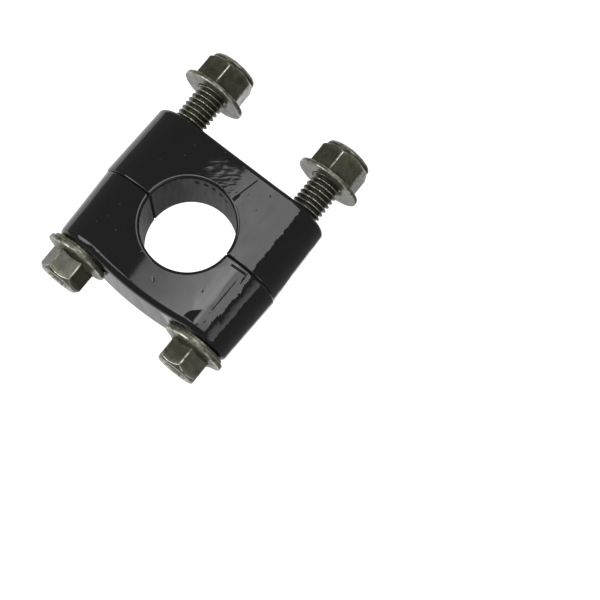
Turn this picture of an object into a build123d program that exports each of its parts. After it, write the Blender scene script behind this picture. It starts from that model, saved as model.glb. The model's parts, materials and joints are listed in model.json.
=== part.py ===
from build123d import *
from math import hypot, radians, sqrt, tan
import os

os.makedirs("parts", exist_ok=True)

# Handlebar riser clamp for a motorcycle: a base, a cap, two flange bolts and two flange lock nuts.
# All lengths are millimetres and all angles degrees. The origin is the middle of the flat seat under
# the base, +Z runs up along the bolts to their heads, and the handlebar runs along Y.

# Handlebar and thread
bar_diameter = 22.2
thread_diameter = 8.0
running_clearance = 0.05

# Blocks, their width given by the walls beside the bolt holes
bore_wall = 1.9
bolt_hole_diameter = 8.8
end_wall = 3.2
block_thickness = 20.8
base_height = 20.0
cap_height = 18.8
base_draft = 1.6
cap_draft = 2.0
cap_mismatch = 0.3
arch_half_span = 13.5
arch_rise = 1.1
arch_blend_radius = 9.0
seat_edge_radius = 1.3
cap_edge_radius = 1.8
parting_edge_radius = 0.5
bore_rim_radius = 0.8
spot_face_clearance = 0.4

# Hexagons and flanges
crown_angle = 42.0
flange_lead_angle = 9.0
flange_edge_chamfer = 0.2
waist_depth = 0.4

# Flange bolts
bolt_across_flats = 10.0
bolt_bearing_diameter = 14.4
bolt_bearing_height = 0.7
bolt_flange_diameter = 15.9
bolt_flange_rim = 1.2
bolt_flange_height = 2.6
bolt_head_height = 8.3
bolt_tip_chamfer = 0.7
bolt_tip_gap = 0.1
head_dish_diameter = 7.0
head_dish_depth = 0.7
left_head_turn = 22.0
right_head_turn = 57.0

# Flange lock nuts
nut_across_flats = 12.0
nut_flange_diameter = 16.65
nut_flange_rim = 1.0
nut_flange_height = 2.3
nut_hex_height = 7.8
collar_diameter = 12.0
collar_height = 1.1
collar_round = 0.9
nut_mouth_chamfer = 0.5
left_nut_gap = 10.1
right_nut_gap = 10.4
left_nut_turn = 36.5
right_nut_turn = 29.5

# Locking rings under the nuts' collars
ring_wall = 1.1
ring_height = 2.2
crimp_lip = 0.45
crimp_overlap = 0.6

# Sizes that follow
bar_radius = bar_diameter / 2
thread_radius = thread_diameter / 2
bolt_hole_radius = bolt_hole_diameter / 2
bolt_x = bar_radius + bore_wall + bolt_hole_radius
bolt_spacing = 2 * bolt_x
block_width = 2 * (bolt_x + bolt_hole_radius + end_wall)
bolt_seat_height = base_height + cap_height
bolt_flange_level = bolt_seat_height + bolt_bearing_height
spot_face_radius = bolt_bearing_diameter / 2 + spot_face_clearance
running_bore_radius = thread_radius + running_clearance
ring_radius = running_bore_radius + ring_wall
ring_seat_radius = ring_radius + running_clearance
ring_seat_height = ring_height + running_clearance
nut_height = nut_hex_height + collar_height
nut_bore_length = nut_height - crimp_lip - ring_seat_height
stud_length = min(left_nut_gap, right_nut_gap) + nut_bore_length - bolt_tip_gap
bolt_length = bolt_seat_height + stud_length


def upright_plane(x, z, up=1):
    """Plane through (x, 0, z) for profiles: its X is the part's X, and its Y is up, or down for -1."""
    return Plane(origin=(x, 0, z), x_dir=(1, 0, 0), z_dir=(0, -up, 0))


def level_plane(x, z, up=1):
    """Level plane through (x, 0, z) for outlines, facing up, or down for -1."""
    return Plane(origin=(x, 0, z), x_dir=(1, 0, 0), z_dir=(0, 0, up))


def bore_rims(block):
    """Edges where the bar bore runs out of the drafted front and back faces."""

    def is_rim(edge):
        middle = edge @ 0.5
        on_bore = abs(hypot(middle.X, middle.Z - base_height) - bar_radius) < 0.01
        return on_bore and abs(middle.Y) > block_thickness / 4

    return block.part.edges().filter_by(is_rim)


# Riser base, widest at the parting face and drawn in towards the seat by its forging draft
with BuildPart() as riser_base:
    with BuildSketch(level_plane(0, base_height, -1)):
        SlotOverall(block_width, block_thickness)
    extrude(amount=base_height, taper=base_draft)
    fillet(riser_base.faces().sort_by(Axis.Z)[0].edges(), seat_edge_radius)
    with BuildSketch(upright_plane(0, base_height)):
        Circle(bar_radius)
    extrude(amount=block_thickness, both=True, mode=Mode.SUBTRACT)
    fillet(bore_rims(riser_base), bore_rim_radius)
    parting_edges = riser_base.faces().filter_by(Axis.Z).group_by(Axis.Z)[-1].edges()
    fillet(parting_edges, parting_edge_radius)
    with BuildSketch(level_plane(0, 0)):
        with GridLocations(bolt_spacing, 0, 2, 1):
            Circle(bolt_hole_radius)
    extrude(amount=base_height, mode=Mode.SUBTRACT)

# Clamp cap: an arched back between two level bolt seats, with a round spot face for each head
with BuildPart() as clamp_cap:
    with BuildSketch(level_plane(0, base_height)):
        with Locations((-cap_mismatch, 0)):
            SlotOverall(block_width, block_thickness)
    extrude(amount=cap_height + arch_rise, taper=cap_draft)
    with BuildSketch(upright_plane(0, base_height)):
        with BuildLine():
            arch = ThreePointArc(
                (-arch_half_span, cap_height),
                (0, cap_height + arch_rise),
                (arch_half_span, cap_height),
            )
            Polyline(
                arch @ 1,
                (block_width, cap_height),
                (block_width, 0),
                (-block_width, 0),
                (-block_width, cap_height),
                arch @ 0,
            )
        make_face()
        springings = vertices().group_by(Axis.Y)[-1].sort_by(Axis.X)[1:3]
        fillet(springings, arch_blend_radius)
    extrude(amount=block_thickness, both=True, mode=Mode.INTERSECT)
    back_edges = clamp_cap.edges().filter_by_position(
        Axis.Z, bolt_seat_height - 0.01, bolt_seat_height + arch_rise + 0.01
    )
    fillet(back_edges, cap_edge_radius)
    with BuildSketch(upright_plane(0, base_height)):
        Circle(bar_radius)
    extrude(amount=block_thickness, both=True, mode=Mode.SUBTRACT)
    fillet(bore_rims(clamp_cap), bore_rim_radius)
    parting_edges = clamp_cap.faces().filter_by(Axis.Z).group_by(Axis.Z)[0].edges()
    fillet(parting_edges, parting_edge_radius)
    with BuildSketch(level_plane(0, bolt_seat_height)):
        with GridLocations(bolt_spacing, 0, 2, 1):
            Circle(spot_face_radius)
    extrude(amount=arch_rise + cap_edge_radius, mode=Mode.SUBTRACT)
    with BuildSketch(level_plane(0, base_height)):
        with GridLocations(bolt_spacing, 0, 2, 1):
            Circle(bolt_hole_radius)
    extrude(amount=cap_height + arch_rise, mode=Mode.SUBTRACT)


def flanged_hexagon(outline, profile, axis, across_flats, hex_height, flange_radius, rim, flange_height):
    """Hexagon with a chamfered crown on a round flange that sweeps up into it, on the outline plane."""
    flat_radius = across_flats / 2
    corner_radius = across_flats / sqrt(3)
    crown_drop = (corner_radius - flat_radius) * tan(radians(crown_angle))
    with BuildPart() as body:
        with BuildSketch(outline):
            RegularPolygon(flat_radius, 6, major_radius=False)
        extrude(amount=hex_height)
        with BuildSketch(profile):
            with BuildLine():
                Polyline(
                    (0, 0),
                    (corner_radius, 0),
                    (corner_radius, hex_height - crown_drop),
                    (flat_radius, hex_height),
                    (0, hex_height),
                    close=True,
                )
            make_face()
        revolve(axis=axis, mode=Mode.INTERSECT)
        with BuildSketch(profile):
            with BuildLine():
                edge = Polyline(
                    (0, 0),
                    (flange_radius - flange_edge_chamfer, 0),
                    (flange_radius, flange_edge_chamfer),
                    (flange_radius, rim - flange_edge_chamfer),
                    (flange_radius - flange_edge_chamfer, rim),
                )
                sweep_up = TangentArc(
                    edge @ 1,
                    (flat_radius - waist_depth, flange_height),
                    tangent=(-1, tan(radians(flange_lead_angle))),
                )
                Polyline(sweep_up @ 1, (0, flange_height), (0, 0))
            make_face()
        revolve(axis=axis)
    return body.part


def flange_bolt(x, head_turn):
    """M8 hexagon flange bolt, its head on a raised bearing face on the cap's seat, its thread left smooth."""
    axis = Axis((x, 0, 0), (0, 0, 1))
    head = flanged_hexagon(
        level_plane(x, bolt_flange_level).rotated((0, 0, head_turn)),
        upright_plane(x, bolt_flange_level),
        axis,
        bolt_across_flats,
        bolt_head_height - bolt_bearing_height,
        bolt_flange_diameter / 2,
        bolt_flange_rim,
        bolt_flange_height,
    )
    with BuildPart() as bolt:
        add(head)
        with BuildSketch(upright_plane(x, bolt_seat_height)):
            with BuildLine():
                Polyline(
                    (0, bolt_bearing_height),
                    (bolt_bearing_diameter / 2, bolt_bearing_height),
                    (bolt_bearing_diameter / 2, 0),
                    (thread_radius, 0),
                    (thread_radius, bolt_tip_chamfer - bolt_length),
                    (thread_radius - bolt_tip_chamfer, -bolt_length),
                    (0, -bolt_length),
                    close=True,
                )
            make_face()
        revolve(axis=axis)
        with BuildSketch(upright_plane(x, bolt_seat_height + bolt_head_height)):
            with BuildLine():
                floor = Polyline((0, 0), (0, -head_dish_depth), (head_dish_diameter / 4, -head_dish_depth))
                SagittaArc(floor @ 1, (head_dish_diameter / 2, 0), -head_dish_depth / 4)
                Line((head_dish_diameter / 2, 0), (0, 0))
            make_face()
        revolve(axis=axis, mode=Mode.SUBTRACT)
    return bolt.part


def flange_lock_nut(x, gap, hex_turn):
    """M8 hexagon flange lock nut that hangs below the seat, its collar rounded over the ring."""
    profile = upright_plane(x, -gap, -1)
    axis = Axis((x, 0, 0), (0, 0, 1))
    collar_radius = collar_diameter / 2
    hexagon = flanged_hexagon(
        level_plane(x, -gap, -1).rotated((0, 0, hex_turn)),
        profile,
        axis,
        nut_across_flats,
        nut_hex_height,
        nut_flange_diameter / 2,
        nut_flange_rim,
        nut_flange_height,
    )
    with BuildPart() as nut:
        add(hexagon)
        with BuildSketch(profile):
            with BuildLine():
                side = Polyline(
                    (0, nut_flange_height),
                    (collar_radius, nut_flange_height),
                    (collar_radius, nut_height - collar_round),
                )
                round_over = TangentArc(side @ 1, (collar_radius - collar_round, nut_height), tangent=(0, 1))
                Polyline(round_over @ 1, (0, nut_height), (0, nut_flange_height))
            make_face()
        revolve(axis=axis)
        with BuildSketch(profile):
            with BuildLine():
                Polyline(
                    (0, 0),
                    (running_bore_radius + nut_mouth_chamfer, 0),
                    (running_bore_radius, nut_mouth_chamfer),
                    (running_bore_radius, nut_bore_length),
                    (ring_seat_radius, nut_bore_length),
                    (ring_seat_radius, nut_height - crimp_lip),
                    (ring_seat_radius - crimp_overlap, nut_height),
                    (0, nut_height),
                    close=True,
                )
            make_face()
        revolve(axis=axis, mode=Mode.SUBTRACT)
    return nut.part


def locking_ring(x, gap):
    """Nylon ring held under a nut's collar, its bore already opened by the thread."""
    with BuildPart() as ring:
        with BuildSketch(level_plane(x, crimp_lip + ring_height - gap - nut_height, -1)):
            Circle(ring_radius)
            Circle(running_bore_radius, mode=Mode.SUBTRACT)
        extrude(amount=ring_height)
    return ring.part


pieces = {
    "riser_base": riser_base.part,
    "clamp_cap": clamp_cap.part,
    "left_bolt": flange_bolt(-bolt_x, left_head_turn),
    "right_bolt": flange_bolt(bolt_x, right_head_turn),
    "left_nut": flange_lock_nut(-bolt_x, left_nut_gap, left_nut_turn),
    "right_nut": flange_lock_nut(bolt_x, right_nut_gap, right_nut_turn),
    "left_nut_locking_ring": locking_ring(-bolt_x, left_nut_gap),
    "right_nut_locking_ring": locking_ring(bolt_x, right_nut_gap),
}
for name, piece in pieces.items():
    piece.label = name
    export_step(piece, f"parts/{name}.step")
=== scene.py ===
# %% [markdown]
# # A handlebar riser clamp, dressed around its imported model
#
# The real object is two black painted blocks that grip a handlebar, drawn together by two plated flange
# bolts with flange lock nuts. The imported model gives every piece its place, so this lesson only adds the
# rolled threads, the softened edges, the finishes, the light and the camera.

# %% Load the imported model
import json
from math import atan2, cos, degrees, exp, floor, hypot, pi, radians, sin, sqrt, tan

import bmesh
import bpy
from mathutils import Matrix, Vector


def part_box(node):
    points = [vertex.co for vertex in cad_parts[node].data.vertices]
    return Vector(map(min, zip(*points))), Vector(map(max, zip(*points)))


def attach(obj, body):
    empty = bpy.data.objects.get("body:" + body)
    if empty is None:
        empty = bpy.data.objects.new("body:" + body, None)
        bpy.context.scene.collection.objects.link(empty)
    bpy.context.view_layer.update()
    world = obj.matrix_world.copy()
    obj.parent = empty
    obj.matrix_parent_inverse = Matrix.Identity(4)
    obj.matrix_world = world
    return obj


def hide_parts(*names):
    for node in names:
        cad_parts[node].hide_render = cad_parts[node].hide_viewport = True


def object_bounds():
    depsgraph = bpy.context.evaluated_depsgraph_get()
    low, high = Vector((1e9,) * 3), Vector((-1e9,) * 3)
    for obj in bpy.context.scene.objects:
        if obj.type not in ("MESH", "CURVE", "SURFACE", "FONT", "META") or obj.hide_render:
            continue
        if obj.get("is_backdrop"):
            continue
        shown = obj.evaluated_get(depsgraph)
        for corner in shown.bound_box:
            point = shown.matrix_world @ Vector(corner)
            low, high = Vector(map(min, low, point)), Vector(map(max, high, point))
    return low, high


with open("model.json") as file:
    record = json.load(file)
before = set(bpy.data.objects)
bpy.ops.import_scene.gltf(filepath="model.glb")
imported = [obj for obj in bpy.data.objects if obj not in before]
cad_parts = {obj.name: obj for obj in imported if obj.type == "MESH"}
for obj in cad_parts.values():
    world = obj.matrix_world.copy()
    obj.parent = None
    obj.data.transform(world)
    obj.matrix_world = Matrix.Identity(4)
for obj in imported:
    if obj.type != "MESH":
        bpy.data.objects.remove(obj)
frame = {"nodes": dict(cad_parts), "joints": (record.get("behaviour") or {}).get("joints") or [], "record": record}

MM = 0.001
cad_low, cad_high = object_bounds()
cad_size = [round((high - low) / MM, 2) for low, high in zip(cad_low, cad_high)]
print("nodes:", sorted(frame["nodes"]))
print("packed model, mm:", cad_size)

# %% [markdown]
# ## Helpers for colours and nodes
#
# Every finish here is a small net of shader nodes. A single function adds a node, sets its inputs and
# links them, so that each material below reads as a list of what it does. Colours are written as the hex
# values a painter would pick from a screen, and one function turns them to the linear values that
# the shaders need.

# %% Colour and node helpers
def linear(hex_colour):
    """Linear RGBA of an sRGB colour written as six hex digits."""
    channels = [int(hex_colour[i : i + 2], 16) / 255 for i in (0, 2, 4)]
    straight = [c / 12.92 if c <= 0.04045 else ((c + 0.055) / 1.055) ** 2.4 for c in channels]
    return (*straight, 1.0)


def add_node(tree, kind, settings=None, **inputs):
    """Adds a shader node, applies its settings, and sets or links its inputs by name or by number."""
    node = tree.nodes.new("ShaderNode" + kind)
    for name, value in (settings or {}).items():
        setattr(node, name, value)
    for name, value in inputs.items():
        key = int(name[1:]) if name[0] == "i" and name[1:].isdigit() else name.replace("_", " ")
        if isinstance(value, bpy.types.NodeSocket):
            tree.links.new(value, node.inputs[key])
        else:
            node.inputs[key].default_value = value
    return node


def new_material(name):
    """Empty node material and its tree."""
    material = bpy.data.materials.new(name)
    material.use_nodes = True
    material.node_tree.nodes.clear()
    return material, material.node_tree


def finish_with(tree, shader):
    """Links a shader to the material's output."""
    add_node(tree, "OutputMaterial", Surface=shader.outputs[0])


print("mid grey 808080 is", [round(c, 3) for c in linear("808080")[:3]])

# %% [markdown]
# ## Gloss black paint on a forging
#
# The blocks are drop forgings with one thick coat of gloss black enamel. Such paint is a clear dielectric
# over black, so it shows hardly any colour of its own: the eye reads it by what it mirrors. The
# forging's skin under the coat is slightly wavy, which bends the mirrored edges, and dust caught in the
# coat leaves small pits. The waves are deeper on one rounded end, which ran as it dried, and one patch
# beside the bore wrinkled. In the bar bore the coat is thin and scuffed along the bar by fitting, so it is
# duller there, with a few dried drops near the rim, and the groove between the blocks is painted near
# black as shade.
#
# These could be painted in an image, but a bump from noise keeps sharp at any distance. All waves are made
# from noise in real millimetres on the piece's own coordinates, and single marks are short lines: the
# distance to a line gives a ridge or a groove of a known width and depth.

# %% Waves, bumps and distances
def noise_scale(size_mm):
    """Scale of a noise node that gives lumps about size_mm across."""
    return 0.5 / (size_mm * MM)


def wave(tree, place, size_mm, detail=2.0, seed=0.0):
    """Noise whose lumps are about size_mm across."""
    noise = add_node(
        tree, "TexNoise", {"noise_dimensions": "4D"},
        Vector=place, W=seed, Scale=noise_scale(size_mm), Detail=detail, Roughness=0.5,
    )
    return noise.outputs["Fac"]


def bump(tree, height, depth_mm, normal=None):
    """Bump whose full height is depth_mm."""
    inputs = {"Height": height, "Distance": depth_mm * MM, "Strength": 1.0}
    if normal is not None:
        inputs["Normal"] = normal
    return add_node(tree, "Bump", **inputs).outputs["Normal"]


def from_line(tree, place, start_mm, end_mm):
    """Distance in metres to a straight line between two points."""
    start, line = Vector(start_mm) * MM, (Vector(end_mm) - Vector(start_mm)) * MM
    offset = add_node(tree, "VectorMath", {"operation": "SUBTRACT"}, i0=place, i1=start).outputs[0]
    dot = add_node(tree, "VectorMath", {"operation": "DOT_PRODUCT"}, i0=offset, i1=line).outputs["Value"]
    share = add_node(
        tree, "Math", {"operation": "DIVIDE", "use_clamp": True}, i0=dot, i1=line.length_squared
    ).outputs[0]
    nearest = add_node(tree, "VectorMath", {"operation": "SCALE"}, i0=line, Scale=share).outputs[0]
    return add_node(tree, "VectorMath", {"operation": "DISTANCE"}, i0=offset, i1=nearest).outputs["Value"]


def near(tree, distance, reach_mm, full_mm=0.0):
    """1 within full_mm, falling to 0 at reach_mm."""
    return add_node(
        tree, "MapRange", Value=distance, From_Min=reach_mm * MM, From_Max=full_mm * MM
    ).outputs[0]


print("noise with lumps of 1 mm has a scale of", noise_scale(1))

# %% Places and sizes in the paint
# Millimetres, apart from shares, the stretch and degrees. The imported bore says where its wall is.
bar_bore = next(mount for mount in frame["record"]["mounts"] if mount["name"] == "bar_clamp")
BORE_RADIUS = bar_bore["dims"]["r_mm"]
BORE_HEIGHT = bar_bore["pos_m"][2] / MM
BORE_PAINT_FULL = BORE_RADIUS + 0.02
BORE_PAINT_REACH = BORE_RADIUS + 0.12

# The groove where base and cap meet, inside the bore only, where near black is painted as shade.
GROOVE_DEPTH = 0.75
GROOVE_HALF_LENGTH = 9.3
GROOVE_HALF_HEIGHT = 0.36
GROOVE_EDGE = 0.1

# Drops of paint that dried in the bore: angle round the bar in degrees and place along it.
PAINT_DROPS = [(-62, -7.1), (-73, -7.0), (-83, -6.6), (-94, -6.0), (-103, -5.2)]
DROP_HALF_LENGTH = 0.4
DROP_FULL = 0.45
DROP_REACH = 0.65

# The forging's skin, and the peel of the coat, which is deep only on the rounded end at -X.
SKIN_WAVE = 8.0
SKIN_DEPTH = 0.006
PEEL_WAVE = 1.3
PEEL_DEPTH = 0.1
PEEL_BEGINS_X = -16.5
PEEL_FULL_X = -18.5
PEEL_SHARE_ELSEWHERE = 0.012

# The patch beside the bore that wrinkled lies round a line, and its wrinkles slant.
PATCH_LINE = ((3.8, 0, 5.4), (-1.6, 0, 6.6))
PATCH_FULL = 1.5
PATCH_REACH = 4.0
WRINKLE_WAVE = 0.55
WRINKLE_DEPTH = 0.05
WRINKLE_STRETCH = 2.4
WRINKLE_SLANT_DEGREES = -40

# Pits from dust. The radius of a pit's bottom and that of its rim are shares of the pits' spacing.
PIT_SPACING = 2.4
PIT_DEPTH = 0.01
PIT_BOTTOM = 0.03
PIT_EDGE = 0.09

# Marks in the front of the paint: start and end (X, Z), width and depth. A ridge has a negative depth.
PAINT_MARKS = [
    ((-4.1, 9.0), (-5.7, 2.0), 0.35, 0.012),
    ((-4.9, 9.2), (-5.2, 7.6), 0.9, -0.04),
    ((-10.3, 2.9), (-10.5, 3.1), 0.3, 0.012),
    ((-12.1, 30.0), (-12.3, 30.1), 0.4, 0.03),
    ((-1.6, 34.6), (-2.2, 35.2), 0.3, 0.008),
    ((-15.2, 32.6), (-16.4, 31.8), 0.25, 0.01),
    ((-15.6, 34.2), (-17.6, 32.6), 0.25, 0.01),
    ((-15.6, 37.0), (-17.6, 35.2), 3.0, -0.19),
    ((-13.9, 21.3), (-17.6, 21.1), 0.3, 0.1),
    ((-17.3, 20.8), (-17.6, 23.4), 0.7, 0.07),
]
print(f"paint: {len(PAINT_MARKS)} marks, {len(PAINT_DROPS)} drops, bore radius {BORE_RADIUS} mm")

# %% [markdown]
# ## Where the paint differs from place to place
#
# The coat isn't the same all over: it is dull in the bore and matt on the dried drops, the groove between
# the blocks is painted matt near black as shade, and the coat has peel, wrinkles, scratches and pits. Such places
# could be stored on the vertices, but a flat face
# has hardly any vertices between its edges. So each place is a mask that the shader works out from the
# distance to a line, to the bar's axis or to the sides of a box.

# %% Masks inside the bar bore
def in_bar_bore(tree, from_bar):
    """1 on the wall of the bore, 0 outside it."""
    across = add_node(tree, "VectorMath", {"operation": "MULTIPLY"}, i0=from_bar, i1=(1, 0, 1)).outputs[0]
    distance = add_node(tree, "VectorMath", {"operation": "LENGTH"}, i0=across).outputs["Value"]
    return near(tree, distance, BORE_PAINT_REACH, BORE_PAINT_FULL)


def in_shaded_groove(tree, from_bar):
    """1 in the groove between the blocks, where shade is painted, which fills a flat box round the bar's axis."""
    outwards = add_node(tree, "VectorMath", {"operation": "ABSOLUTE"}, i0=from_bar).outputs[0]
    half_box = Vector((BORE_RADIUS + GROOVE_DEPTH, GROOVE_HALF_LENGTH, GROOVE_HALF_HEIGHT)) * MM
    past_box = add_node(tree, "VectorMath", {"operation": "SUBTRACT"}, i0=outwards, i1=half_box).outputs[0]
    sides = add_node(tree, "SeparateXYZ", Vector=past_box).outputs
    furthest = sides["X"]
    for side in (sides["Y"], sides["Z"]):
        furthest = add_node(tree, "Math", {"operation": "MAXIMUM"}, i0=furthest, i1=side).outputs[0]
    return near(tree, furthest, GROOVE_EDGE)


def add_drops(tree, place, mask):
    """Adds each dried drop to a mask. A drop is drawn out along the bar."""
    for angle, along in PAINT_DROPS:
        x = BORE_RADIUS * cos(radians(angle))
        z = BORE_HEIGHT + BORE_RADIUS * sin(radians(angle))
        ends = ((x, along - DROP_HALF_LENGTH, z), (x, along + DROP_HALF_LENGTH, z))
        drop = near(tree, from_line(tree, place, *ends), DROP_REACH, DROP_FULL)
        mask = add_node(tree, "Math", {"operation": "MAXIMUM"}, i0=mask, i1=drop).outputs[0]
    return mask


print(f"bore paint to {BORE_PAINT_REACH:.2f} mm from the bar's axis, groove {2 * GROOVE_HALF_HEIGHT} mm high")


# %% Relief of the coat
def wavy_skin(tree, place):
    """Normal of a coat on a forging, with its peel."""
    along_row = add_node(tree, "SeparateXYZ", Vector=place).outputs["X"]
    at_end = add_node(
        tree, "MapRange", Value=along_row, From_Min=PEEL_BEGINS_X * MM, From_Max=PEEL_FULL_X * MM,
        To_Min=PEEL_SHARE_ELSEWHERE, To_Max=1.0,
    ).outputs[0]
    skin = bump(tree, wave(tree, place, SKIN_WAVE, detail=1.0, seed=1.3), SKIN_DEPTH)
    lumps = wave(tree, place, PEEL_WAVE, detail=2.0, seed=4.7)
    peel = add_node(tree, "Math", {"operation": "MULTIPLY"}, i0=at_end, i1=lumps).outputs[0]
    return bump(tree, peel, PEEL_DEPTH, skin)


def add_wrinkles(tree, place, in_patch, normal):
    """Slanting wrinkles in the patch."""
    drawn_out = add_node(
        tree, "Mapping", {"vector_type": "TEXTURE"}, Vector=place,
        Rotation=(0, radians(WRINKLE_SLANT_DEGREES), 0), Scale=(WRINKLE_STRETCH, 1, 1),
    ).outputs[0]
    folds = wave(tree, drawn_out, WRINKLE_WAVE, detail=1.0, seed=3.3)
    ripples = add_node(tree, "Math", {"operation": "MULTIPLY"}, i0=in_patch, i1=folds).outputs[0]
    return bump(tree, ripples, WRINKLE_DEPTH, normal)


def add_marks(tree, front, normal):
    """Scratches, pits and ridges, each along its own short line."""
    for (start_x, start_z), (end_x, end_z), width, depth in PAINT_MARKS:
        mark = near(tree, from_line(tree, front, (start_x, 0, start_z), (end_x, 0, end_z)), width)
        normal = bump(tree, mark, -depth, normal)
    return normal


def add_pits(tree, place, normal):
    """Small pits scattered over the whole coat."""
    specks = add_node(
        tree, "TexVoronoi", {"feature": "F1"}, Vector=place, Scale=1 / (PIT_SPACING * MM), Randomness=1.0
    ).outputs["Distance"]
    pit = add_node(tree, "MapRange", Value=specks, From_Min=PIT_BOTTOM, From_Max=PIT_EDGE).outputs[0]
    return bump(tree, pit, PIT_DEPTH, normal)


print(f"depths, mm: skin {SKIN_DEPTH}, peel {PEEL_DEPTH}, wrinkles {WRINKLE_DEPTH}, pits {PIT_DEPTH}")


# %% Material: gloss black enamel
def gloss_black_enamel():
    """Black enamel, dull inside the bar bore, matt black on its drops, and painted near black as shade in its
    groove.
    """
    material, tree = new_material("gloss_black_enamel")
    place = add_node(tree, "TexCoord").outputs["Object"]
    from_bar = add_node(
        tree, "VectorMath", {"operation": "SUBTRACT"}, i0=place, i1=(0, 0, BORE_HEIGHT * MM)
    ).outputs[0]
    in_bore = in_bar_bore(tree, from_bar)
    # Painted shade: the groove between the blocks is coloured near black and matt, like the real dried drops.
    groove_shade_and_drops = add_drops(tree, place, in_shaded_groove(tree, from_bar))
    # On the front half Y is taken as zero, so that a mark's distance counts in X and Z only.
    front = add_node(tree, "VectorMath", {"operation": "MAXIMUM"}, i0=place, i1=(-1, 0, -1)).outputs[0]
    in_patch = near(tree, from_line(tree, front, *PATCH_LINE), PATCH_REACH, PATCH_FULL)
    normal = add_wrinkles(tree, place, in_patch, wavy_skin(tree, place))
    normal = add_pits(tree, place, add_marks(tree, front, normal))

    sheen = wave(tree, place, size_mm=3.0, detail=3.0, seed=8.1)
    roughness = add_node(tree, "MapRange", Value=sheen, To_Min=0.01, To_Max=0.04).outputs[0]
    for mask, dull in ((in_patch, 0.1), (in_bore, 0.62), (groove_shade_and_drops, 1.0)):
        roughness = add_node(
            tree, "Mix", {"data_type": "FLOAT"}, i0=mask, i2=roughness, i3=dull
        ).outputs[0]

    shade = add_node(
        tree, "Mix", {"data_type": "RGBA"}, i0=wave(tree, place, size_mm=2.0, detail=4.0, seed=2.2),
        i6=linear("0b0b0c"), i7=linear("121213"),
    ).outputs[2]
    along_bar = add_node(tree, "VectorMath", {"operation": "MULTIPLY"}, i0=place, i1=(1, 0.1, 1)).outputs[0]
    streaks = add_node(
        tree, "MapRange", Value=wave(tree, along_bar, size_mm=0.5, detail=3.0, seed=6.6),
        From_Min=0.42, From_Max=0.62,
    ).outputs[0]
    scuffed = add_node(tree, "Math", {"operation": "MULTIPLY"}, i0=in_bore, i1=streaks).outputs[0]
    # The bore's scuffs are lighter. The groove's painted shade and the drops are near black.
    for mask, colour in ((scuffed, "363633"), (groove_shade_and_drops, "040404")):
        shade = add_node(
            tree, "Mix", {"data_type": "RGBA"}, i0=mask, i6=shade, i7=linear(colour)
        ).outputs[2]
    paint = add_node(
        tree, "BsdfPrincipled", Base_Color=shade, Metallic=0.0, Roughness=roughness, IOR=1.5, Normal=normal
    )
    finish_with(tree, paint)
    return material


enamel = gloss_black_enamel()
print("paint:", enamel.name, "with", len(enamel.node_tree.nodes), "nodes")

# %% [markdown]
# ## Dark zinc plating, and nylon
#
# Bolts and nuts like these are zinc plated and then passivated to an olive black, which gives a dim,
# cloudy shine. Where edges rub, the coat is gone and bright metal shows. The thread's roots are darkened
# as painted shade. A bolt could be marked by hand, but each piece below stores a value at every vertex,
# from -1 for painted shade to 1 for bare metal, so one material serves all four. The nuts' locking rings
# are of plain off-white nylon.

# %% Material: dark zinc plating
def dark_zinc_plating():
    """Olive-black passivated zinc on steel, worn bright where the stored value is high, and darkened as painted
    shade in the thread's roots, where it is below zero.
    """
    material, tree = new_material("olive_black_zinc_plating")
    place = add_node(tree, "TexCoord").outputs["Object"]
    wear_and_shade = add_node(tree, "Attribute", {"attribute_name": "wear_and_shade"}).outputs["Fac"]
    rubs = add_node(
        tree, "MapRange", Value=wave(tree, place, size_mm=0.5, detail=4.0, seed=3.1),
        From_Min=0.4, From_Max=0.58, To_Min=0.2, To_Max=1.0,
    ).outputs[0]
    bare = add_node(tree, "Math", {"operation": "MULTIPLY", "use_clamp": True}, i0=wear_and_shade, i1=rubs).outputs[0]
    # Painted shade: a stored value below zero scales the plating's colour down to half, in the thread's roots.
    root_shade_factor = add_node(
        tree, "MapRange", Value=wear_and_shade, From_Min=0.0, From_Max=-1.0, To_Min=1.0, To_Max=0.5
    ).outputs[0]
    cloud = add_node(
        tree, "MapRange", Value=wave(tree, place, size_mm=1.1, detail=5.0, seed=6.4),
        From_Min=0.25, From_Max=0.75,
    ).outputs[0]
    plated = add_node(
        tree, "Mix", {"data_type": "RGBA"}, i0=cloud, i6=linear("26251d"), i7=linear("4a4836"),
    ).outputs[2]
    dull = add_node(tree, "VectorMath", {"operation": "SCALE"}, i0=plated, Scale=root_shade_factor).outputs[0]
    colour = add_node(
        tree, "Mix", {"data_type": "RGBA"}, i0=bare, i6=dull, i7=linear("d6d3c4"),
    ).outputs[2]
    metallic = add_node(tree, "MapRange", Value=bare, To_Min=0.3, To_Max=1.0).outputs[0]
    roughness = add_node(
        tree, "MapRange", Value=wave(tree, place, size_mm=0.9, detail=4.0, seed=7.7),
        From_Min=0.3, From_Max=0.7, To_Min=0.16, To_Max=0.36,
    ).outputs[0]
    dents = bump(tree, wave(tree, place, size_mm=1.6, detail=3.0, seed=5.5), depth_mm=0.01)
    grain = bump(tree, wave(tree, place, size_mm=0.35, detail=3.0, seed=9.0), depth_mm=0.012, normal=dents)
    metal = add_node(
        tree, "BsdfPrincipled", Base_Color=colour, Metallic=metallic, Roughness=roughness, Normal=grain
    )
    finish_with(tree, metal)
    return material


plating = dark_zinc_plating()
print("plating:", plating.name, "with", len(plating.node_tree.nodes), "nodes")


# %% Material: natural nylon
def natural_nylon():
    """Off-white nylon, satin and slightly cloudy."""
    material, tree = new_material("natural_nylon")
    place = add_node(tree, "TexCoord").outputs["Object"]
    colour = add_node(
        tree, "Mix", {"data_type": "RGBA"}, i0=wave(tree, place, size_mm=1.5, detail=3.0, seed=1.0),
        i6=linear("d6d2c2"), i7=linear("e2dfd2"),
    ).outputs[2]
    plastic = add_node(tree, "BsdfPrincipled", Base_Color=colour, Roughness=0.45, IOR=1.53)
    finish_with(tree, plastic)
    return material


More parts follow.
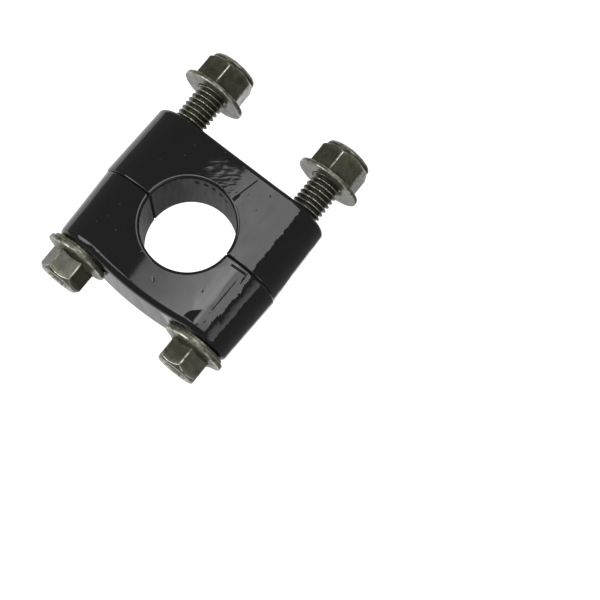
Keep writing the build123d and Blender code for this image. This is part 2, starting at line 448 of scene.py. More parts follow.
nylon = natural_nylon()
for node in ("left_nut_locking_ring", "right_nut_locking_ring"):
    mesh = frame["nodes"][node].data
    mesh.materials.clear()
    mesh.materials.append(nylon)
    print(node, "is made of", nylon.name)

# %% [markdown]
# ## The two blocks
#
# A mirror-like coat shows every fault of the shading under it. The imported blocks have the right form, but
# their surfaces aren't joined to each other, as the count of open edges below shows. Merging alone would
# let smooth shading average a flat face with the rounded edge beside it, and the flat would mirror the room
# as if it were bent. So each merged copy also gets normals weighted by face area, which keeps the flats flat
# and lets the narrow rounded edges do the turning.

# %% Mesh helpers
def count_open_edges(bm):
    """Number of edges that don't lie between exactly two faces."""
    return sum(1 for edge in bm.edges if not edge.is_manifold)


def object_from(bm, name, material):
    """Object in the scene that takes over a bmesh."""
    mesh = bpy.data.meshes.new(name)
    bm.to_mesh(mesh)
    bm.free()
    mesh.materials.append(material)
    new_object = bpy.data.objects.new(name, mesh)
    bpy.context.scene.collection.objects.link(new_object)
    return new_object


def shade_smooth(mesh, sharp_degrees):
    """Smooth shading that breaks at edges sharper than an angle."""
    mesh.polygons.foreach_set("use_smooth", [True] * len(mesh.polygons))
    mesh.set_sharp_from_angle(angle=radians(sharp_degrees))


loose = bmesh.new()
loose.from_mesh(frame["nodes"]["riser_base"].data)
print("packed riser base:", len(loose.faces), "triangles,", count_open_edges(loose), "open edges")
loose.free()

# %% Blocks
MERGE_DISTANCE = 2e-6
BLOCK_SHARP_DEGREES = 35
FLAT_WEIGHT = 80


def painted_block(name, body, node):
    """Merged copy of a packed block, shaded flat on its flats and smooth on its rounded edges."""
    bm = bmesh.new()
    bm.from_mesh(frame["nodes"][node].data)
    bmesh.ops.remove_doubles(bm, verts=bm.verts, dist=MERGE_DISTANCE)
    bmesh.ops.recalc_face_normals(bm, faces=bm.faces)
    open_edges = count_open_edges(bm)
    block = object_from(bm, name, enamel)
    shade_smooth(block.data, BLOCK_SHARP_DEGREES)
    weighted = block.modifiers.new("weighted_normals", "WEIGHTED_NORMAL")
    weighted.mode = "FACE_AREA"
    weighted.weight = FLAT_WEIGHT
    weighted.keep_sharp = True
    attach(block, body)
    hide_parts(node)
    print(f"{name}: {len(block.data.polygons)} faces, {open_edges} open edges")


painted_block("painted_riser_base", "base", "riser_base")
painted_block("painted_clamp_cap", "cap", "clamp_cap")

# %% [markdown]
# ## Outlines that the bolts and nuts share
#
# A hexagon flange bolt and its nut are turned shapes with one exception, the hexagon. So each is grown
# ring by ring round its axis, and a ring may be a circle or follow the hexagon. Real hexagons are
# stamped, and their corners come out round. The outline below has such corners.

# %% Shared outlines
# The rounding is in millimetres, the steps are counted once round, and crowding has no unit.
CORNER_ROUND = 0.35
CROWN_SLOPE = tan(radians(42))
STEPS = 144
CROWDING = 0.75
FLANGE_LEAD_DEGREES = 9.0


def hexagon_reach(across_flats, angle):
    """Distance from the axis to a hexagon with rounded corners, one of them at angle zero."""
    flat = across_flats / 2
    from_corner = abs((degrees(angle) + 30) % 60 - 30)
    from_flat = radians(30 - from_corner)
    if tan(from_flat) < (flat - CORNER_ROUND) * tan(radians(30)) / flat:
        return flat / cos(from_flat)
    centre = (flat - CORNER_ROUND) / cos(radians(30))
    aside = centre * sin(radians(from_corner))
    return centre * cos(radians(from_corner)) + sqrt(CORNER_ROUND ** 2 - aside ** 2)


def sweep_height(radius, outer, rim, inner, top):
    """Height of the flange's upper face, an arc that leaves the rim at its lead and rises to the waist."""
    lead = radians(FLANGE_LEAD_DEGREES)
    run, rise = outer - inner, top - rim
    bend = (run ** 2 + rise ** 2) / (2 * (rise * cos(lead) - run * sin(lead)))
    along = outer - radius + bend * sin(lead)
    return rim + bend * cos(lead) - sqrt(bend ** 2 - along ** 2)


def crowd(angle):
    """Moves evenly spaced angles towards the hexagon's corners, where the outline bends."""
    return angle - CROWDING * sin(6 * angle) / 6


def round_ring(radius, level, wear_and_shade):
    """Ring of a drawing that is the same all round."""
    return lambda angle: (radius, level, wear_and_shade)


def raised(ring, lift):
    """The same ring at another height."""
    def higher(angle):
        radius, level, wear_and_shade = ring(angle)
        return radius, level + lift, wear_and_shade
    return higher


print("corner reach of a 12 mm hexagon:", round(hexagon_reach(12, 0), 3), "mm")

# %% [markdown]
# ## Rings of a flange and its hexagon
#
# The list of rings is the drawing of the piece: a rounded rim, the concave upper face of the flange, the
# flats, the chamfered crown. Each entry gives a radius, a height and how much the plating is
# worn off there, for any angle round the axis. Edges are worn most, because tools and other bolts in
# the box rub them.

# %% Rings of a flanged hexagon
# Millimetres, apart from the wear. A corner reaches CORNER_SHARE times as far from the axis as a flat does.
FOOT_INSET = 0.9
EDGE_ROUND = 0.2
EDGE_MIDDLE = 0.06
WAIST_INSET = 0.4
CROWN_INSET = 0.3
RIM_WEAR = 0.9
CORNER_SHARE = 1.144
CORNER_WEAR = 0.9
CORNER_WEAR_WIDTH = 0.006


def flange_and_hexagon(across_flats, height, flange_radius, rim, waist_top):
    """Rings from the flange's lower face up to the edge of the crown's flat top."""
    flat = across_flats / 2
    waist = flat - WAIST_INSET
    crown = flat - CROWN_INSET
    rim_start = flange_radius - EDGE_ROUND
    wall_height = height - waist_top

    def upper_face(share, wear_and_shade):
        def ring(angle):
            reach = hexagon_reach(across_flats, angle)
            radius = rim_start + share * (reach - rim_start)
            return radius, sweep_height(radius, rim_start, rim, waist, waist_top), wear_and_shade
        return ring

    def wall(inset, below_crown, wear_and_shade):
        def ring(angle):
            reach = hexagon_reach(across_flats, angle)
            level = height - (reach - inset - crown) * CROWN_SLOPE - below_crown
            corner = exp(-((reach / flat - CORNER_SHARE) / CORNER_WEAR_WIDTH) ** 2)
            return reach - inset, level, max(wear_and_shade, CORNER_WEAR * corner)
        return ring

    def crown_face(share, below_crown, wear_and_shade):
        def ring(angle):
            reach = hexagon_reach(across_flats, angle)
            radius = crown + (reach - crown) * (1 - share)
            return radius, height - (radius - crown) * CROWN_SLOPE - below_crown, wear_and_shade
        return ring

    rim_rings = [
        round_ring(flange_radius - FOOT_INSET, 0, 0.2),
        round_ring(rim_start, 0, 0.4),
        round_ring(flange_radius - EDGE_MIDDLE, EDGE_MIDDLE, 0.8),
        round_ring(flange_radius, EDGE_ROUND, 0.3),
        round_ring(flange_radius, rim / 2, 0.1),
        round_ring(flange_radius, rim - EDGE_ROUND, 0.3),
        round_ring(flange_radius - EDGE_MIDDLE, rim - EDGE_MIDDLE, 1.0),
        round_ring(rim_start, rim, 0.8),
    ]
    swept_rings = [
        upper_face(share, RIM_WEAR * (1 - share) ** 4)
        for share in (0.08, 0.2, 0.35, 0.5, 0.65, 0.8, 0.92, 1.0)
    ]
    wall_rings = [
        wall(0, wall_height * 0.6, 0.0),
        wall(0, wall_height * 0.25, 0.0),
        wall(0, 0.16, 0.1),
        wall(0.01, 0.07, 1.0),
    ]
    crown_rings = [
        crown_face(0.03, 0.03, 1.0),
        crown_face(0.12, 0.0, 0.2),
        crown_face(0.4, 0.0, 0.1),
        crown_face(0.75, 0.0, 0.1),
        crown_face(1.0, 0.02, 0.2),
    ]
    return rim_rings + swept_rings + wall_rings + crown_rings


print("plating is worn off where a hexagon's outline reaches", CORNER_SHARE, "times its flat")

# %% [markdown]
# ## A bolt with a real rolled thread
#
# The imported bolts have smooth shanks, which is right for collision, but the eye looks at the thread.
# A thread can be faked with a bump, but its saw-tooth outline shows, so it is modelled: one pitch of the
# thread's profile is spun once round the axis while it climbs one pitch, which is what the spin
# operator's offset is for, and that turn is repeated up the bolt. The screw surface is then cut level at
# both ends, and the head is grown from the upper cut by extruding its edge loop, ring after ring.

# %% Thread profile
# All in millimetres. The crests have a radius of CREST and the roots one of ROOT.
PITCH = 1.25
CREST = 4.0
ROOT = 3.28
THREAD_LENGTH = 22.0
RUN_OUT = 2.0
TIP_CHAMFER = 0.7
THREAD_SHAPE = [
    (0.0, ROOT), (0.11, ROOT + 0.03), (0.19, ROOT + 0.11), (0.50, CREST - 0.10), (0.56, CREST - 0.02),
]


def thread_profile():
    """One pitch of the thread as (height, radius), from root to root."""
    down = [(PITCH - height, radius) for height, radius in reversed(THREAD_SHAPE)]
    return THREAD_SHAPE + [(PITCH / 2, CREST)] + down


print("thread profile, mm:", [(round(height, 2), round(radius, 2)) for height, radius in thread_profile()])


# %% Growing and finishing a piece
LEVEL_TOLERANCE = 1e-4
PIECE_MERGE = 1e-5
PIECE_SHARP_DEGREES = 40


def loop_at(bm, level):
    """Open edges that lie at one level."""
    return [
        edge for edge in bm.edges
        if edge.is_boundary and all(abs(vert.co.z - level) < LEVEL_TOLERANCE for vert in edge.verts)
    ]


def grow_ring(bm, loop, ring, wear_and_shade, turn, crowded):
    """Extrudes an edge loop and puts the new ring where its drawing says."""
    made = bmesh.ops.extrude_edge_only(bm, edges=loop)["geom"]
    new_verts = {part for part in made if isinstance(part, bmesh.types.BMVert)}
    for vert in new_verts:
        angle = crowd(vert[turn]) if crowded else vert[turn]
        radius, level, worn = ring(angle)
        vert.co = Vector((radius * cos(angle), radius * sin(angle), level))
        vert[wear_and_shade] = worn
    new_edges = [part for part in made if isinstance(part, bmesh.types.BMEdge) and part.is_boundary]
    return [e for e in new_edges if all(v in new_verts for v in e.verts)]


def make_piece(name, bm, body, node, place, turn_deg, flip=False):
    """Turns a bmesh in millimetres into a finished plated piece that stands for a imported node."""
    bmesh.ops.remove_doubles(bm, verts=bm.verts, dist=PIECE_MERGE)
    bmesh.ops.recalc_face_normals(bm, faces=bm.faces)
    matrix = Matrix.Translation(Vector(place)) @ Matrix.Scale(MM, 4)
    if flip:
        matrix = matrix @ Matrix.Rotation(pi, 4, "X") @ Matrix.Rotation(radians(-turn_deg), 4, "Z")
    else:
        matrix = matrix @ Matrix.Rotation(radians(turn_deg), 4, "Z")
    bmesh.ops.transform(bm, matrix=matrix, verts=bm.verts)
    open_edges = count_open_edges(bm)
    piece = object_from(bm, name, plating)
    shade_smooth(piece.data, PIECE_SHARP_DEGREES)
    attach(piece, body)
    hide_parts(node)
    triangles = sum(len(face.vertices) - 2 for face in piece.data.polygons)
    print(f"{name}: {triangles} triangles, {open_edges} open edges")


print("pieces are smooth across edges of up to", PIECE_SHARP_DEGREES, "degrees")

# %% Rolled thread
# Millimetres, apart from the turns. The screw surface begins some turns below the tip, so that the level
# cut there meets it all round. Wear ends, and the painted shade in the roots begins, at depths below the
# crest, and both fade.
LEAD_IN_TURNS = 1.5
TURN_MERGE = 1e-3
CUT_MERGE = 1e-5
CREST_WEAR_DEPTH = 0.1
CREST_WEAR_FADE = 0.08
ROOT_SHADE_DEPTH = 0.2
ROOT_SHADE_FADE = 0.3


def rolled_thread(bm, tip, thread_top):
    """Screw surface from the tip up to the thread's top, cut level at both."""
    start = tip - LEAD_IN_TURNS * PITCH
    steps = STEPS // 2
    chain = [bm.verts.new((radius, 0, start + height)) for height, radius in thread_profile()]
    edges = [bm.edges.new(pair) for pair in zip(chain, chain[1:])]
    bmesh.ops.spin(
        bm, geom=chain + edges, cent=(0, 0, 0), axis=(0, 0, 1), dvec=(0, 0, PITCH / steps),
        angle=2 * pi, steps=steps, use_merge=False, use_normal_flip=False, use_duplicate=False,
    )
    one_turn = bm.verts[:] + bm.edges[:] + bm.faces[:]
    for number in range(1, floor((thread_top - start) / PITCH) + 2):
        copied = bmesh.ops.duplicate(bm, geom=one_turn)["geom"]
        verts = [part for part in copied if isinstance(part, bmesh.types.BMVert)]
        bmesh.ops.translate(bm, vec=(0, 0, number * PITCH), verts=verts)
    bmesh.ops.remove_doubles(bm, verts=bm.verts, dist=TURN_MERGE)
    for level, outwards in ((tip, -1), (thread_top, 1)):
        bmesh.ops.bisect_plane(
            bm, geom=bm.verts[:] + bm.edges[:] + bm.faces[:], dist=CUT_MERGE,
            plane_co=(0, 0, level), plane_no=(0, 0, outwards), clear_outer=True,
        )


def finish_thread(bm, tip, thread_top, wear_and_shade, turn):
    """Chamfers the tip, runs the thread out into the shank, and stores each vertex's angle, how worn its crest is
    and how much painted shade darkens its root.
    """
    for vert in bm.verts:
        radius = hypot(vert.co.x, vert.co.y)
        run_out = min(max((vert.co.z - thread_top + RUN_OUT) / RUN_OUT, 0), 1)
        new_radius = radius + (CREST - radius) * run_out
        new_radius = min(new_radius, CREST - TIP_CHAMFER + vert.co.z - tip)
        vert[turn] = atan2(vert.co.y, vert.co.x)
        worn = min(max((radius - CREST + CREST_WEAR_DEPTH) / CREST_WEAR_FADE, 0), 1)
        # Painted shade: below the crests, the roots get a negative value, which darkens them.
        root_shade = min(max((CREST - ROOT_SHADE_DEPTH - radius) / ROOT_SHADE_FADE, 0), 1)
        vert[wear_and_shade] = (worn - root_shade) * (1 - run_out)
        vert.co.x *= new_radius / radius
        vert.co.y *= new_radius / radius


print(f"thread: bright to {CREST_WEAR_DEPTH} mm below its crests, grimy from {ROOT_SHADE_DEPTH} mm")

# %% Bolts
# All in millimetres, heights from the seat up.
NECK_FILLET = 0.25
BEARING_RADIUS = 7.2
BEARING_EDGE = 0.1
BEARING_HEIGHT = 0.7
HEAD_FLATS = 10.0
HEAD_HEIGHT = 8.3
HEAD_FLANGE_RADIUS = 7.95
HEAD_RIM = 1.2
HEAD_WAIST = 2.6
DISH = 3.5
DISH_FLOOR = HEAD_HEIGHT - 0.7


def head_drawing():
    """Rings under the head, then those of its flange, hexagon and dished top, from the seat up."""
    under = [
        round_ring(CREST, -NECK_FILLET, 0.0),
        round_ring(CREST + NECK_FILLET, 0, 0.1),
        round_ring(BEARING_RADIUS - BEARING_EDGE, 0, 0.0),
        round_ring(BEARING_RADIUS, BEARING_EDGE, 0.2),
        round_ring(BEARING_RADIUS, BEARING_HEIGHT - 0.05, 0.0),
    ]
    hexagon = flange_and_hexagon(
        HEAD_FLATS, HEAD_HEIGHT - BEARING_HEIGHT, HEAD_FLANGE_RADIUS, HEAD_RIM, HEAD_WAIST
    )
    top = [
        round_ring(HEAD_FLATS / 2 - 0.5, HEAD_HEIGHT - 0.01, 0.3),
        round_ring(DISH + 0.35, HEAD_HEIGHT, 0.4),
        round_ring(DISH + 0.1, HEAD_HEIGHT - 0.02, 0.9),
        round_ring(DISH - 0.1, HEAD_HEIGHT - 0.14, 0.8),
        round_ring(DISH * 0.86, DISH_FLOOR + 0.26, 0.1),
        round_ring(DISH * 0.7, DISH_FLOOR + 0.08, 0.0),
        round_ring(DISH * 0.5, DISH_FLOOR, 0.0),
        round_ring(DISH * 0.2, DISH_FLOOR, 0.0),
    ]
    return under, [raised(ring, BEARING_HEIGHT) for ring in hexagon] + top


def threaded_bolt(name, body, node, seat, tip, turn_deg):
    """Flange bolt: rolled thread below, plain shank through the blocks, dished hexagon head on top."""
    bm = bmesh.new()
    wear_and_shade = bm.verts.layers.float.new("wear_and_shade")
    turn = bm.verts.layers.float.new("turn")
    thread_top = tip + THREAD_LENGTH
    rolled_thread(bm, tip, thread_top)
    finish_thread(bm, tip, thread_top, wear_and_shade, turn)
    bmesh.ops.edgeloop_fill(bm, edges=loop_at(bm, tip))
    loop = loop_at(bm, thread_top)
    print(f"{name}: {len(loop)} edges in the upper cut")
    under, head = head_drawing()
    for number, ring in enumerate(under + head):
        in_head = number >= len(under)
        loop = grow_ring(bm, loop, raised(ring, seat.z / MM), wear_and_shade, turn, crowded=in_head)
    bmesh.ops.edgeloop_fill(bm, edges=loop)
    make_piece(name, bm, body, node, (seat.x, seat.y, 0), turn_deg)


seats = {
    joint["child"]: Vector(joint["pos_m"]) for joint in frame["joints"] if joint["name"].endswith("bolt_turn")
}
bolt_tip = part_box("left_bolt")[0].z / MM
print("bolt seats, mm:", {name: [round(c / MM, 2) for c in seat] for name, seat in seats.items()})
for side, turn_deg in (("left", 22.0), ("right", 57.0)):
    bolt = f"{side}_bolt"
    threaded_bolt(f"{side}_rolled_thread_bolt", bolt, bolt, seats[bolt], bolt_tip, turn_deg)

# %% [markdown]
# ## Flange lock nuts
#
# Each nut is a closed section spun once round its axis: the bearing face, the thin rim, the swept flange,
# the hexagon, and the collar that is rolled in over its nylon ring. The spin gives a round nut. Then every
# vertex is asked for its ring and its angle, and moves to where the drawing puts it, which presses the
# hexagon into the round form.

# %% Nuts
# All in millimetres, heights from the bearing face away from the blocks.
NUT_FLATS = 12.0
NUT_CROWN_TOP = 7.8
NUT_RIM = 1.0
NUT_WAIST = 2.3
NUT_BORE = 4.05
NUT_CHAMFER = 0.5
NUT_FOOT = 5.4
COLLAR = 6.0
MOUTH = 4.6
MOUTH_EDGE = 0.1
RING_SEAT = 5.2
RING_SEAT_DEPTH = 2.7


def nut_drawing(height, flange_radius):
    """Closed section of a nut, from its bearing face round over the collar and back through its bore."""
    outside = [
        round_ring(NUT_BORE + NUT_CHAMFER, 0, 0.3),
        round_ring(NUT_FOOT, 0, 0.2),
        *flange_and_hexagon(NUT_FLATS, NUT_CROWN_TOP, flange_radius, NUT_RIM, NUT_WAIST),
    ]
    collar = [
        round_ring(COLLAR - 0.25, NUT_CROWN_TOP + 0.08, 0.0),
        round_ring(COLLAR - 0.02, NUT_CROWN_TOP + 0.12, 0.0),
        round_ring(COLLAR, height - 0.8, 0.4),
        round_ring(COLLAR - 0.08, height - 0.52, 0.5),
        round_ring(COLLAR - 0.29, height - 0.23, 0.8),
        round_ring(COLLAR - 0.58, height - 0.06, 0.6),
        round_ring(COLLAR - 0.9, height, 0.3),
    ]
    inside = [
        round_ring(MOUTH + MOUTH_EDGE, height, 0.1),
        round_ring(MOUTH, height - 0.06, 0.1),
        round_ring(RING_SEAT, height - 0.45, 0.0),
        round_ring(RING_SEAT, height - RING_SEAT_DEPTH, 0.0),
        round_ring(NUT_BORE, height - RING_SEAT_DEPTH, 0.0),
        round_ring(NUT_BORE, NUT_CHAMFER, 0.0),
    ]
    return outside + collar + inside


def flange_nut(name, body, node, turn_deg):
    """Flange lock nut that hangs below the seat, its bearing face up."""
    low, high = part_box(node)
    drawing = nut_drawing((high.z - low.z) / MM, (high.x - low.x) / 2 / MM)
    bm = bmesh.new()
    wear_and_shade = bm.verts.layers.float.new("wear_and_shade")
    ring_number = bm.verts.layers.int.new("ring")
    chain = []
    for index, ring in enumerate(drawing):
        radius, level, _ = ring(radians(30))
        vert = bm.verts.new((radius, 0, level))
        vert[ring_number] = index
        chain.append(vert)
    edges = [bm.edges.new(pair) for pair in zip(chain, chain[1:] + chain[:1])]
    bmesh.ops.spin(
        bm, geom=chain + edges, cent=(0, 0, 0), axis=(0, 0, 1), dvec=(0, 0, 0),
        angle=2 * pi, steps=STEPS, use_merge=True, use_normal_flip=False, use_duplicate=False,
    )
    for vert in bm.verts:
        angle = crowd(atan2(vert.co.y, vert.co.x))
        radius, level, worn = drawing[vert[ring_number]](angle)
        vert.co = Vector((radius * cos(angle), radius * sin(angle), level))
        vert[wear_and_shade] = worn
    centre = (low + high) / 2
    make_piece(name, bm, body, node, (centre.x, centre.y, high.z), turn_deg, flip=True)


for side, turn_deg in (("left", 36.5), ("right", 29.5)):
    flange_nut(f"{side}_flange_lock_nut", f"{side}_nut", f"{side}_nut", turn_deg)

# %% [markdown]
# ## Camera
#
# The photograph looks almost along the handlebar, from a little above, and the clamp lies turned in it,
# so its bolt heads point down to the left. The camera stands where that view puts it: an azimuth and an
# elevation say where it looks from, and a roll turns the picture.

# %% Camera at the photograph's angle
def direction(azimuth_deg, elevation_deg):
    """Unit vector towards an azimuth, counted from -Y towards +X, and an elevation."""
    azimuth, elevation = radians(azimuth_deg), radians(elevation_deg)
    return Vector((sin(azimuth) * cos(elevation), -cos(azimuth) * cos(elevation), sin(elevation)))


def aim_camera(position_mm, azimuth_deg, elevation_deg, roll_deg, lens_mm):
    """Camera that looks against its azimuth and elevation, rolled about its axis."""
    camera = bpy.data.objects.new("camera", bpy.data.cameras.new("camera"))
    bpy.context.scene.collection.objects.link(camera)
    back = direction(azimuth_deg, elevation_deg)
    level = (-back).to_track_quat("-Z", "Y").to_matrix().to_4x4()
    camera.matrix_world = (
        Matrix.Translation(Vector(position_mm) * MM) @ level @ Matrix.Rotation(radians(roll_deg), 4, "Z")
    )
    camera.data.sensor_width = 36
    camera.data.lens = lens_mm
    camera.data.clip_start = 0.01
    camera.data.clip_end = 100
    bpy.context.scene.camera = camera
    return camera


camera = aim_camera(
    position_mm=(-80.85, -398.70, 95.88), azimuth_deg=-7.304, elevation_deg=11.227, roll_deg=-141.17,
    lens_mm=105.87,
)
print("camera axes:", [[round(c, 4) for c in row] for row in camera.matrix_world.to_3x3().transposed()])

# %% [markdown]
# ## Studio
#
# Gloss black paint and plated steel are lit by what they mirror. The set is the usual one for such small
# hardware: a white surround, black flags in front of it that keep the front dark, one large soft box
# close to the camera with a slim stand before it, an upper light beside it for the arch, a narrow strip
# light at the far side, and two papers behind the object that the bore and the rims mirror. Flags, papers
# and lights show only in reflections and never to the camera, and the surround is pure white to the camera
# and to mirrors, but softer as a light.
#
# Lamps of Blender's own would light the metal as well, but their edges can't be cut to shape. A card with a
# glowing cloth can be cut along a line, and its brightness can fade across it as a real soft box does.

# %% Surround
SURROUND_AS_LAMP = 0.55

world = bpy.data.worlds.new("white_surround")
bpy.context.scene.world = world
world.use_nodes = True
world.node_tree.nodes.clear()
rays = add_node(world.node_tree, "LightPath").outputs
seen = rays["Is Camera Ray"]
for kind in ("Is Glossy Ray", "Is Transmission Ray"):
    seen = add_node(world.node_tree, "Math", {"operation": "MAXIMUM"}, i0=seen, i1=rays[kind]).outputs[0]
strength = add_node(
    world.node_tree, "MapRange", Value=seen, To_Min=SURROUND_AS_LAMP, To_Max=1.0
).outputs[0]
surround = add_node(world.node_tree, "Background", Color=(1, 1, 1, 1), Strength=strength)
add_node(world.node_tree, "OutputWorld", Surface=surround.outputs[0])
print("surround:", world.name, "at", SURROUND_AS_LAMP, "as a lamp")


# %% Cloths
# FADED and SIDE_DIMMED are the shares of the light that stay at a faded top and at a softened side. The upper
# half begins at a height given in the card's own 0 to 1, and creases are counted per card.
FLAG_GLOW = 0.26
FADED = 0.15
SIDE_DIMMED = 0.4
UPPER_HALF_BEGINS = 0.44
UPPER_HALF_FULL = 0.52
CREASE_SCALE = 45
CREASE_DEPTH = 0.16


def glowing(name, bright, dim, centre=(0.5, 0.5), reach=(0.0, 0.6), fading=(2.0, 3.0), soft_side=0.001):
    """Light cloth, bright round a centre given in the card's own 0 to 1 and dim at its reach.

    It fades upwards between two heights, its upper half is softened up to soft_side from one side, and
    creases in the cloth make it uneven."""
    material, tree = new_material(name)
    place = add_node(tree, "TexCoord").outputs["UV"]
    away = add_node(tree, "VectorMath", {"operation": "DISTANCE"}, i0=place, i1=(*centre, 0)).outputs["Value"]
    power = add_node(
        tree, "MapRange", Value=away, From_Min=reach[0], From_Max=reach[1], To_Min=bright, To_Max=dim
    ).outputs[0]
    split = add_node(tree, "SeparateXYZ", Vector=place).outputs
    faded = add_node(
        tree, "MapRange", Value=split["Y"], From_Min=fading[0], From_Max=fading[1], To_Min=1.0, To_Max=FADED
    ).outputs[0]
    side = add_node(
        tree, "MapRange", Value=split["X"], From_Min=0.0, From_Max=soft_side, To_Min=SIDE_DIMMED, To_Max=1.0
    ).outputs[0]
    upper = add_node(
        tree, "MapRange", Value=split["Y"], From_Min=UPPER_HALF_BEGINS, From_Max=UPPER_HALF_FULL
    ).outputs[0]
    soft = add_node(tree, "Mix", {"data_type": "FLOAT"}, i0=upper, i2=1.0, i3=side).outputs[0]
    creases = add_node(
        tree, "TexNoise", Vector=place, Scale=CREASE_SCALE, Detail=3.0, Roughness=0.6
    ).outputs["Fac"]
    uneven = add_node(
        tree, "MapRange", Value=creases, From_Min=0.3, From_Max=0.7,
        To_Min=1 - CREASE_DEPTH, To_Max=1 + CREASE_DEPTH,
    ).outputs[0]
    for factor in (faded, soft, uneven):
        power = add_node(tree, "Math", {"operation": "MULTIPLY"}, i0=power, i1=factor).outputs[0]
    finish_with(tree, add_node(tree, "Emission", Color=(1, 1, 1, 1), Strength=power))
    return material


def flag_cloth():
    """Black cloth that sends back a little light."""
    material, tree = new_material("black_flag_cloth")
    finish_with(tree, add_node(tree, "Emission", Color=(1, 1, 1, 1), Strength=FLAG_GLOW))
    return material


flag = flag_cloth()
soft_box_cloth = glowing(
    "soft_box_cloth", bright=6.0, dim=3.15, centre=(0.12, 0.62), reach=(0.06, 0.21), fading=(0.56, 0.88),
    soft_side=0.09,
)
upper_cloth = glowing("upper_cloth", bright=4.6, dim=3.0)
strip_cloth = glowing("strip_cloth", bright=1.9, dim=0.6, centre=(0.75, 0.3), reach=(0.1, 0.75))
lit_paper = glowing("lit_paper", bright=1.5, dim=1.5)
grey_paper = glowing("grey_paper", bright=0.6, dim=0.6)
print("cloths:", [m.name for m in (flag, soft_box_cloth, upper_cloth, strip_cloth, lit_paper, grey_paper)])

# %% Sheets of the set
# In metres, like the cards' distances. The cards' elevations are counted from this height.
SET_HEIGHT = 0.02


def studio_sheet(name, bm, material, lights_surfaces):
    """Puts a sheet in the scene that only reflections see, and diffuse surfaces too if it is a light."""
    sheet = object_from(bm, name, material)
    sheet.visible_camera = False
    sheet.visible_transmission = False
    sheet.visible_shadow = False
    sheet.visible_diffuse = lights_surfaces
    sheet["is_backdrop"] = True


def card(name, azimuths, elevations, distance, material, lights_surfaces=False, folds=()):
    """Upright card between two azimuths and two elevations, facing the object, with parts cut away.

    Each cut runs along a line given by the directions of two of its points."""
    middle = direction(sum(azimuths) / 2, 0)
    width = 2 * distance * tan(radians((azimuths[1] - azimuths[0]) / 2))
    bottom, top = (distance * tan(radians(elevation)) for elevation in elevations)
    bm = bmesh.new()
    bmesh.ops.create_grid(bm, x_segments=1, y_segments=1, size=0.5)
    side = middle.cross(Vector((0, 0, 1)))
    basis = Matrix((side * width, Vector((0, 0, 1)) * (top - bottom), -middle)).transposed().to_4x4()
    basis.translation = middle * distance + Vector((0, 0, (top + bottom) / 2 + SET_HEIGHT))
    uv = bm.loops.layers.uv.verify()
    for face in bm.faces:
        for loop in face.loops:
            loop[uv].uv = (loop.vert.co.x + 0.5, loop.vert.co.y + 0.5)
    bmesh.ops.transform(bm, matrix=basis, verts=bm.verts)
    for fold in folds:
        first, last = (direction(*corner) for corner in fold)
        bmesh.ops.bisect_plane(
            bm, geom=bm.verts[:] + bm.edges[:] + bm.faces[:], dist=CUT_MERGE,
            plane_co=(0, 0, SET_HEIGHT), plane_no=last.cross(first), clear_outer=True,
        )
    print(f"{name}: {width:.2f} by {top - bottom:.2f} m at {distance} m")
    studio_sheet(name, bm, material, lights_surfaces)


def flag_tent(name, radius, behind, material):
    """Black tent round the front half of the set, open to the white surround at the back."""
    bm = bmesh.new()
    bmesh.ops.create_uvsphere(bm, u_segments=48, v_segments=24, radius=radius)
    bmesh.ops.bisect_plane(
        bm, geom=bm.verts[:] + bm.edges[:] + bm.faces[:], dist=CUT_MERGE,
        plane_co=(0, behind, 0), plane_no=(0, 1, 0), clear_outer=True,
    )
    print(f"{name}: {radius} m in radius, open {behind} m behind the object")
    studio_sheet(name, bm, material, lights_surfaces=False)


# %% Flags
flag_tent("flag_tent", radius=1.6, behind=0.45, material=flag)
card("side_flag", azimuths=(-158, -90), elevations=(-50, 50), distance=0.9, material=flag)

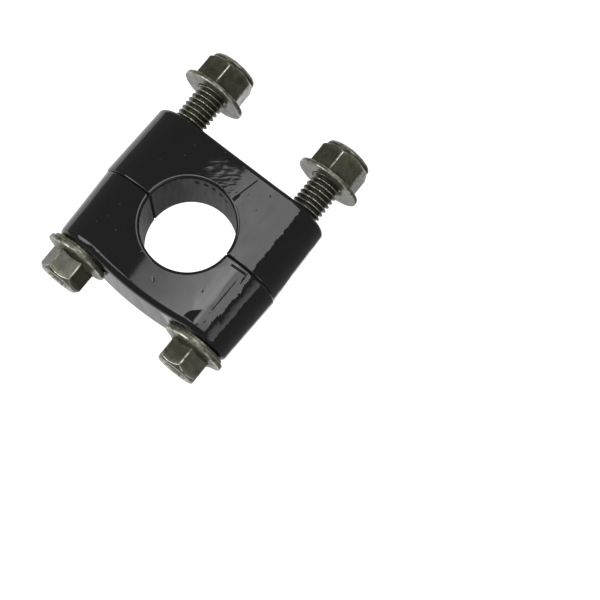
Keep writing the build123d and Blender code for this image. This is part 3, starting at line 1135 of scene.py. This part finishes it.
# %% Lights and papers
card(
    "soft_box", azimuths=(-40, 12), elevations=(-45, 35), distance=1.0, material=soft_box_cloth,
    lights_surfaces=True,
    folds=(((-40, -5), (-31, -15)), ((11.4, -16), (12, -5)), ((12, 22), (-40, 1))),
)
card("light_stand", azimuths=(-13, -10), elevations=(-9, 35), distance=0.95, material=flag)
card(
    "upper_light", azimuths=(12.5, 62), elevations=(0, 38), distance=1.0, material=upper_cloth,
    lights_surfaces=True, folds=(((30, 38), (12.5, 12)),),
)
card(
    "strip_light", azimuths=(-70, -50), elevations=(-10, 40), distance=1.0, material=strip_cloth,
    lights_surfaces=True,
)
card("bright_paper", azimuths=(160, 215), elevations=(-60, -12), distance=1.2, material=lit_paper)
card("grey_table_edge", azimuths=(150, 200), elevations=(-6, 11), distance=1.2, material=grey_paper)

# %% [markdown]
# ## Floor
#
# The floor is plain and pale. To the camera it is as white as the surround, because part of its
# brightness doesn't depend on the lamps, and the rest darkens softly where the clamp keeps light off it.
# It lies just below the lowest place that the nuts reach when their bolts are turned out, so that it never
# cuts them.

# %% Floor
# The nuts' drop and the clearance are in millimetres, the floor's half size in metres.
NUT_DROP = 5.0
FLOOR_CLEARANCE = 0.2
FLOOR_GLOW = 0.64
FLOOR_HALF_SIZE = 20


def pale_floor(level):
    """Large level sheet under the object."""
    material, tree = new_material("pale_floor_sheet")
    to_camera = add_node(tree, "LightPath").outputs["Is Camera Ray"]
    own = add_node(tree, "Math", {"operation": "MULTIPLY"}, i0=to_camera, i1=FLOOR_GLOW).outputs[0]
    paper = add_node(tree, "BsdfDiffuse", Color=linear("f4f4f4"), Roughness=0.0)
    glow = add_node(tree, "Emission", Color=(1, 1, 1, 1), Strength=own)
    finish_with(tree, add_node(tree, "AddShader", i0=paper.outputs[0], i1=glow.outputs[0]))
    bm = bmesh.new()
    bmesh.ops.create_grid(bm, x_segments=1, y_segments=1, size=FLOOR_HALF_SIZE)
    bmesh.ops.translate(bm, vec=(0, 0, level), verts=bm.verts)
    floor_sheet = object_from(bm, "floor", material)
    floor_sheet.visible_glossy = False
    floor_sheet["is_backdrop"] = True


floor_level = cad_low.z - (NUT_DROP + FLOOR_CLEARANCE) * MM
pale_floor(floor_level)
bpy.context.scene.view_settings.view_transform = "Standard"
print("floor at", round(floor_level / MM, 2), "mm")

# %% [markdown]
# ## Last measure
#
# The dressed model has to keep the imported model's size, so both boxes are measured and their difference is
# printed.

# %% Measure and finish
dressed_low, dressed_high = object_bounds()
growth = [round((a - b) / MM, 3) for a, b in zip(dressed_high - dressed_low, cad_high - cad_low)]
print("dressed minus packed size, mm:", growth)
